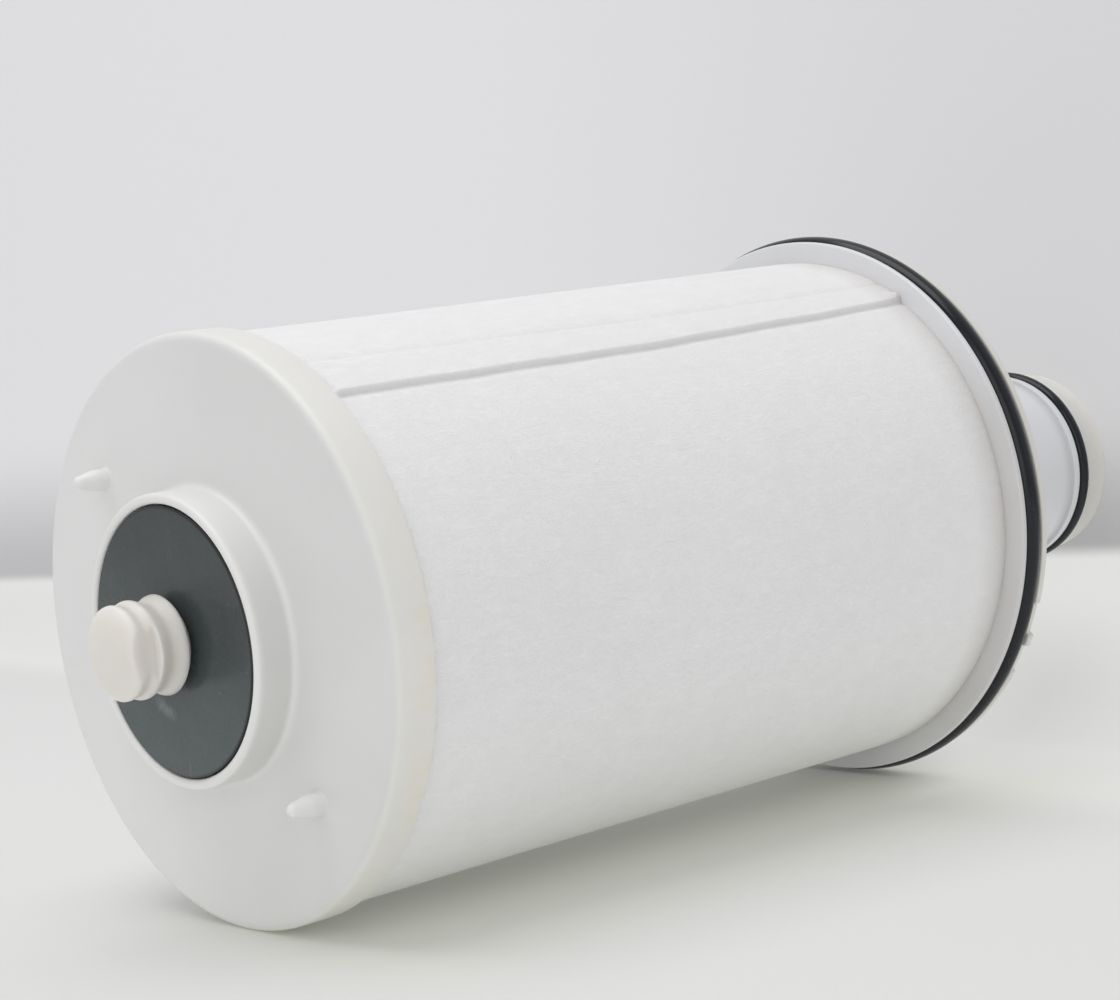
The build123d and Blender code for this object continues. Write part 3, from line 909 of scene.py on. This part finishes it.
class CARTRIDGE_OT_prefilter_wrap(Builder, bpy.types.Operator):
    """Build the fabric wrap with its lap seam, tucked end and soft waves"""

    bl_idname = "cartridge.prefilter_wrap"
    bl_label = "Prefilter wrap"

    def build(self, scene):
        sizes, cap = scene.cartridge_wrap, scene.cartridge_cap
        low, high = WRAP_LOW.z, WRAP_HIGH.z
        skirt_low = high + cap.plate - cap.skirt
        z = np.concatenate([
            low + 5.0 * MM * np.linspace(0.0, 1.0, 17) ** 1.6,
            np.linspace(low + 7.0 * MM, skirt_low - 9.0 * MM, 74),
            np.linspace(skirt_low - 7.5 * MM, skirt_low + 0.5 * MM, 22),
            np.linspace(skirt_low + 3.0 * MM, high, 3),
        ])[:, None]
        rise_share = np.clip((z - low) / (skirt_low - low), 0.0, 1.0)
        below_skirt = np.clip(skirt_low - z, 0.0, None)
        edge = sizes.edge_low + (sizes.edge_high - sizes.edge_low) * rise_share
        edge = edge - sizes.bow * np.sin(np.pi * rise_share)
        edge = edge - sizes.hook * np.exp(-below_skirt / (4.5 * MM))
        edge = edge + 0.0022 * np.sin(z / (9.0 * MM)) + 0.0014 * np.sin(z / (3.7 * MM) + 1.0)
        lap = sizes.lap_low + (sizes.lap_high - sizes.lap_low) * rise_share
        # Columns: across the lap first, then round the rest of the body and back to the free edge
        across = np.linspace(0.0, 1.0, 40)[None, :] ** 1.5
        around = np.linspace(0.0, 1.0, 260)[None, 1:]
        around = around + 0.30 * around * (1.0 - around) * (2.0 * around - 1.0)
        around = 1.0 - (1.0 - around) ** 1.18
        spin = np.concatenate([lap * across, lap + (FULL_TURN - lap) * around[:, :-1]], 1)
        radius, shade = wrap_radii(sizes, spin, lap, z, low, below_skirt)
        turn, ends = edge + spin, [-1, 0]
        inside = sizes.radius - sizes.thickness + 0.02 * MM
        inner = turned(inside, turn[ends], z[ends])
        sheet = shell(np.concatenate([turned(radius, turn, z), inner]))
        material = fabric_finish(scene.cartridge_finishes, low)
        piece = add_piece("wrap_sheet", "prefilter_wrap", "wrap_fabric", material, sheet)
        shade = np.concatenate([np.broadcast_to(shade, turn.shape), np.zeros(inner.shape[:2])])
        values = piece.data.attributes.new("shade", "FLOAT", "POINT")
        values.data.foreach_set("value", shade.astype(np.float32).ravel())


def nearest(angles, marks):
    """Smallest angle from each of the angles to one of the marks."""
    return np.abs(np.mod(angles[:, None] - marks[None, :] + np.pi, FULL_TURN) - np.pi).min(1)


def notch_middles(sizes):
    """Angles of the middles of the two notches."""
    return sizes.notch_turn + np.array([0.0, np.pi])


def notch_stations(sizes):
    """Even angles, with a close trio at each side of a notch or tab in place of those near it."""
    middles, notch, tab = notch_middles(sizes), 0.5 * sizes.notch_angle, 0.5 * sizes.tab_angle
    sides = np.concatenate([middles - notch, middles + notch, middles - tab, middles + tab])
    sides = np.mod(sides, FULL_TURN)
    even = turns(300)
    even = even[nearest(even, sides) > 2.0 * NOTCH_SIDE]
    return np.sort(np.concatenate([even, sides - NOTCH_SIDE, sides, sides + NOTCH_SIDE]))


def lip_shift(sizes, angles):
    """How far the rear lip's edge moves out at each angle: in by the notch's depth, out by the tab."""
    off = nearest(angles, notch_middles(sizes))
    notch, tab = (
        1.0 - smooth(off, 0.5 * whole - NOTCH_SIDE, 0.5 * whole + NOTCH_SIDE)
        for whole in (sizes.notch_angle, sizes.tab_angle)
    )
    return -sizes.notch_depth * notch + sizes.tab_proud * tab


def web_shells(sizes, low, high):
    """Webs: a rounded section in (across, up), carried out from the hub to the rim at each angle."""
    half, edge, top, sunk = 0.5 * sizes.web_width, 0.5 * MM, high + 0.5 * MM, 0.8 * MM
    section = rounded([(-half, top, 0.0), (-half, low, edge), (half, low, edge), (half, top, 0.0)])
    across, up = np.split(section[None, ::-1], 2, -1)
    reach = np.linspace(sizes.hub - sunk, sizes.rim + sunk, 8)[:, None, None]
    webs = []
    for heading in turns(sizes.webs):
        c, s = math.cos(heading), math.sin(heading)
        out, aside, upright = np.array([c, s, 0.0]), np.array([-s, c, 0.0]), np.array([0.0, 0.0, 1.0])
        webs.append(shell(reach * out + across * aside + up * upright, False))
    return webs


class CARTRIDGE_OT_outlet_flange(Builder, bpy.types.Operator):
    """Build the flange: lips, O-ring groove, notches with tabs, hub, webs and centring ring"""

    bl_idname = "cartridge.outlet_flange"
    bl_label = "Outlet flange"

    def build(self, scene):
        sizes = scene.cartridge_outlet
        rear, face, top = FLANGE_LOW.z, WRAP_LOW.z, FLANGE_HIGH.z
        under = face - sizes.plate
        groove_low, groove_high = rear + sizes.rear_lip, face - sizes.front_lip
        hole = sizes.neck + sizes.clearance
        ring, hollow_edge, hole_edge = hole + sizes.ring_wall, 0.5 * MM, 0.2 * MM
        profile = rounded([
            (hole, rear, hole_edge), (sizes.hub, rear, EASED),
            (sizes.hub, under, hollow_edge), (sizes.rim, under, hollow_edge),
            (sizes.rim, rear, EASED), (sizes.rear_radius, rear, sizes.lip_edge),
            (sizes.rear_radius, groove_low, sizes.lip_edge), (sizes.groove, groove_low, SHARP),
            (sizes.groove, groove_high, SHARP), (sizes.front_radius, groove_high, sizes.lip_edge),
            (sizes.front_radius, face, sizes.lip_edge), (ring, face, SHARP),
            (ring, top, EASED), (hole, top, EASED),
        ])
        profile, angles = refined(profile, 2.5 * MM), notch_stations(sizes)
        rings = lathe(profile, angles)
        # The rear lip is cut back in the notches and drawn out at the tabs, most at its edge
        radius, height = profile.T
        lip = np.clip((radius - sizes.groove) / (sizes.rear_radius - sizes.groove), 0.0, 1.0)
        lip = lip * (height < groove_low + 0.5 * SHARP)
        scale = 1.0 + lip[:, None] * lip_shift(sizes, angles)[None, :] / sizes.rear_radius
        rings[..., :2] *= scale[..., None]
        webs = web_shells(sizes, rear + sizes.web_setback, under)
        material = outlet_finish(scene.cartridge_finishes, groove_high, sizes.collar_high)
        add_piece("flange_moulding", "outlet_end_cap", "outlet_plastic", material, shell(rings), *webs)


class CARTRIDGE_OT_outlet_neck(Builder, bpy.types.Operator):
    """Build the neck with its collar and shoulder, and the cream nose that ends it"""

    bl_idname = "cartridge.outlet_neck"
    bl_label = "Outlet neck and nose"

    def build(self, scene):
        sizes, colours = scene.cartridge_outlet, scene.cartridge_finishes
        bore, seat, neck, collar = sizes.bore, sizes.seat, sizes.neck, sizes.collar
        rear, low, high, wide = FLANGE_LOW.z, NECK_LOW.z, NECK_HIGH.z, NECK_HIGH.x
        shoulder, nose_low, nose_high = rear - sizes.shoulder, NOSE_LOW.z, NOSE_HIGH.z
        collar_edge, hollow_edge, bore_edge, collar_slope = 0.5 * MM, 0.6 * MM, 0.4 * MM, 0.3 * MM
        neck_profile = rounded([
            (bore, low, CRISP), (seat, low, CRISP),
            (seat, sizes.collar_low, SHARP), (collar, sizes.collar_low, collar_edge),
            (collar, sizes.collar_high, EASED), (neck, sizes.collar_high + collar_slope, SHARP),
            (neck, shoulder, hollow_edge), (wide, shoulder, collar_edge),
            (wide, rear, CRISP), (neck, rear, CRISP),
            (neck, high, EASED), (bore, high, EASED),
        ])
        nose_profile = rounded([
            (bore, nose_low, bore_edge), (NOSE_HIGH.x, nose_low, sizes.nose_edge),
            (NOSE_HIGH.x, nose_high, EASED), (seat, nose_high, CRISP),
            (seat, low, CRISP), (bore, low, CRISP),
        ])
        made, front = bpy.data.materials, WRAP_LOW.z - sizes.front_lip
        white = made.get("outlet_finish") or outlet_finish(colours, front, sizes.collar_high)
        cream = made.get("cream_finish") or cream_finish(colours, DISC_HIGH.z)
        neck_shell = shell(spun(neck_profile, 1.5 * MM, 200))
        nose_shell = shell(spun(nose_profile, 1.0 * MM, 200))
        add_piece("neck_moulding", "outlet_neck", "outlet_plastic", white, neck_shell)
        add_piece("nose_moulding", "nose_ring", "cream_plastic", cream, nose_shell)


def ring_shell(low, high, seat, around):
    """A circle of half the ring's height, set at its outer radius and cut off at the seat, turned."""
    half, t = 0.5 * (high.z - low.z), turns(44)
    radius = np.maximum(high.x - half + half * np.cos(t), seat)
    return shell(lathe(pairs(radius, low.z + half + half * np.sin(t)), turns(around)))


class CARTRIDGE_OT_seal_rings(Builder, bpy.types.Operator):
    """Build both O-rings, round in section and flattened on their seats"""

    bl_idname = "cartridge.seal_rings"
    bl_label = "O-rings"

    def build(self, scene):
        sizes = scene.cartridge_outlet
        flange_middle = 0.5 * (FLANGE_RING_LOW.z + FLANGE_RING_HIGH.z)
        neck_middle = 0.5 * (NECK_RING_LOW.z + NECK_RING_HIGH.z)
        material = ring_finish(scene.cartridge_finishes, (flange_middle, neck_middle))
        flange_ring = ring_shell(FLANGE_RING_LOW, FLANGE_RING_HIGH, sizes.groove, 400)
        neck_ring = ring_shell(NECK_RING_LOW, NECK_RING_HIGH, sizes.seat, 240)
        add_piece("flange_seal", "flange_o_ring", "ring_rubber", material, flange_ring)
        add_piece("neck_seal", "neck_o_ring", "ring_rubber", material, neck_ring)


class CARTRIDGE_OT_inner_filter(Builder, bpy.types.Operator):
    """Give the carbon block, the sleeve, the core tube and the glue their finishes"""

    bl_idname = "cartridge.inner_filter"
    bl_label = "Inner filter"

    def build(self, scene):
        colours = scene.cartridge_finishes
        glue = glue_finish(colours)
        finishes = {
            "carbon_block": carbon_finish(colours),
            "fines_sleeve": felt_finish(colours),
            "core_tube": moulded(Paint("core_finish", colours.core), 0.45, 0.012, 0.06),
            "closed_end_bond": glue,
            "outlet_end_bond": glue,
        }
        for name, material in finishes.items():
            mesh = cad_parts[name].data
            mesh.materials.clear()
            mesh.materials.append(material)


def add_sweep(settings):
    """Pale sweep: a line along the floor, an arc and a leaning wall, in (y, z), carried along X."""
    lean, foot, bend = 0.0268, 62.7 * MM, 32.0 * MM
    floor_start, wall_start, wall_end, half_width = -0.85, 40.0 * MM, 1.2, 1.6
    floor_end, arc = foot - bend, np.linspace(-0.5 * np.pi, -lean, 24)
    wall = np.linspace(wall_start, wall_end, 40)
    y, z = np.concatenate([
        pairs(np.linspace(floor_start, floor_end - 2.0 * MM, 40), np.zeros(40)),
        pairs(floor_end + bend * np.cos(arc), bend + bend * np.sin(arc)),
        pairs(foot - lean * wall, wall),
    ]).T
    x = np.linspace(-half_width, half_width, 60)
    points = np.stack(np.broadcast_arrays(x[None, :], y[:, None], z[:, None]), -1).reshape(-1, 3)
    index = np.arange(len(points)).reshape(len(y), len(x))
    quads = np.stack([index[:-1, :-1], index[:-1, 1:], index[1:, 1:], index[1:, :-1]], -1)
    no_fans = np.empty((0, 3), int)
    sweep = add_mesh("sweep", sweep_finish(settings), points, quads.reshape(-1, 4), no_fans)


def add_lamps(scene, settings):
    """Large soft lamps. At distance d, one lights a face that looks at it to power / (pi d) squared."""
    middle = Vector((0.0, 0.0, 0.15))
    places = {
        "key": (Vector((0.14, -1.28, 0.36)), 1.1, settings.key),
        "fill": (Vector((-0.75, -0.45, 1.30)), 1.2, settings.fill),
    }
    for name, (place, size, level) in places.items():
        data = bpy.data.lights.new(name, "AREA")
        data.shape = "SQUARE"
        data.size = size
        data.energy = level * (math.pi * (middle - place).length) ** 2
        lamp = bpy.data.objects.new(name, data)
        lamp.location = place
        lamp.rotation_euler = (middle - place).to_track_quat("-Z", "Y").to_euler()
        lamp.visible_camera = False
        scene.collection.objects.link(lamp)


def add_room(scene, settings):
    """Room light at its own level, seen by the camera as a pale wall."""
    white, pale = (1.0, 1.0, 1.0, 1.0), (0.72, 0.72, 0.73, 1.0)
    world = bpy.data.worlds.new("room")
    scene.world = world
    world.use_nodes = True
    world.node_tree.nodes.clear()
    nodes = Nodes(world.node_tree)
    light = nodes.add("Background", {"Color": white, "Strength": settings.air}).outputs[0]
    wall = nodes.add("Background", {"Color": pale}).outputs[0]
    seen = nodes.add("LightPath").outputs["Is Camera Ray"]
    nodes.add("OutputWorld", {0: nodes.add("MixShader", {0: seen, 1: light, 2: wall}).outputs[0]})


def add_camera(scene, settings):
    """Camera rolled onto its side, so that the standing cartridge appears to lie on a table."""
    data = bpy.data.cameras.new("eye")
    data.lens = settings.lens
    data.sensor_width = 36.0
    data.clip_start = 0.01
    eye = bpy.data.objects.new("eye", data)
    right, down = Vector((-0.65406, 0.10775, -0.74873)), Vector((0.0, 0.98980, 0.14245))
    ahead = Vector((0.75645, 0.09317, -0.64739))
    turn = Matrix((right, -down, -ahead)).transposed().to_4x4()
    eye.matrix_world = Matrix.Translation(settings.eye) @ turn
    scene.collection.objects.link(eye)
    scene.camera = eye


class CARTRIDGE_OT_studio(Builder, bpy.types.Operator):
    """Build the studio: pale sweep, soft lamps, room light and the camera"""

    bl_idname = "cartridge.studio"
    bl_label = "Studio"

    def build(self, scene):
        settings = scene.cartridge_studio
        add_sweep(settings)
        add_lamps(scene, settings)
        add_room(scene, settings)
        add_camera(scene, settings)
        scene.view_settings.view_transform = "Standard"


class CARTRIDGE_PT_panel(bpy.types.Panel):
    """Lists the cartridge's pieces in the sidebar"""

    bl_idname = "CARTRIDGE_PT_panel"
    bl_label = "Water filter cartridge"
    bl_space_type = "VIEW_3D"
    bl_region_type = "UI"
    bl_category = "Cartridge"

    def draw(self, context):
        column = self.layout.column(align=True)
        for operator in OPERATORS:
            column.operator(operator.bl_idname)
        for name, kind in SETTINGS.items():
            box = self.layout.box()
            for key in kind.__annotations__:
                box.prop(getattr(context.scene, name), key, text=key.replace("_", " ").capitalize())


SETTINGS = {
    "cartridge_cap": CapSizes,
    "cartridge_stem": StemSizes,
    "cartridge_wrap": WrapSizes,
    "cartridge_outlet": OutletSizes,
    "cartridge_finishes": Finishes,
    "cartridge_studio": StudioSettings,
}
OPERATORS = (
    CARTRIDGE_OT_closed_cap,
    CARTRIDGE_OT_seal_disc,
    CARTRIDGE_OT_ribbed_stem,
    CARTRIDGE_OT_prefilter_wrap,
    CARTRIDGE_OT_outlet_flange,
    CARTRIDGE_OT_outlet_neck,
    CARTRIDGE_OT_seal_rings,
    CARTRIDGE_OT_inner_filter,
    CARTRIDGE_OT_studio,
)


def register():
    """Registers the settings, the operators and the panel."""
    for name, group in SETTINGS.items():
        bpy.utils.register_class(group)
        setattr(bpy.types.Scene, name, PointerProperty(type=group))
    for made in (*OPERATORS, CARTRIDGE_PT_panel):
        bpy.utils.register_class(made)


def unregister():
    """Takes them all away again."""
    for made in reversed((*OPERATORS, CARTRIDGE_PT_panel)):
        bpy.utils.unregister_class(made)
    for name, group in reversed(SETTINGS.items()):
        delattr(bpy.types.Scene, name)
        bpy.utils.unregister_class(group)


def main():
    """Builds the pieces in order, then the studio."""
    register()
    bpy.ops.cartridge.closed_cap()
    bpy.ops.cartridge.seal_disc()
    bpy.ops.cartridge.ribbed_stem()
    bpy.ops.cartridge.prefilter_wrap()
    bpy.ops.cartridge.outlet_flange()
    bpy.ops.cartridge.outlet_neck()
    bpy.ops.cartridge.seal_rings()
    bpy.ops.cartridge.inner_filter()
    bpy.ops.cartridge.studio()


if __name__ == "__main__":
    main()
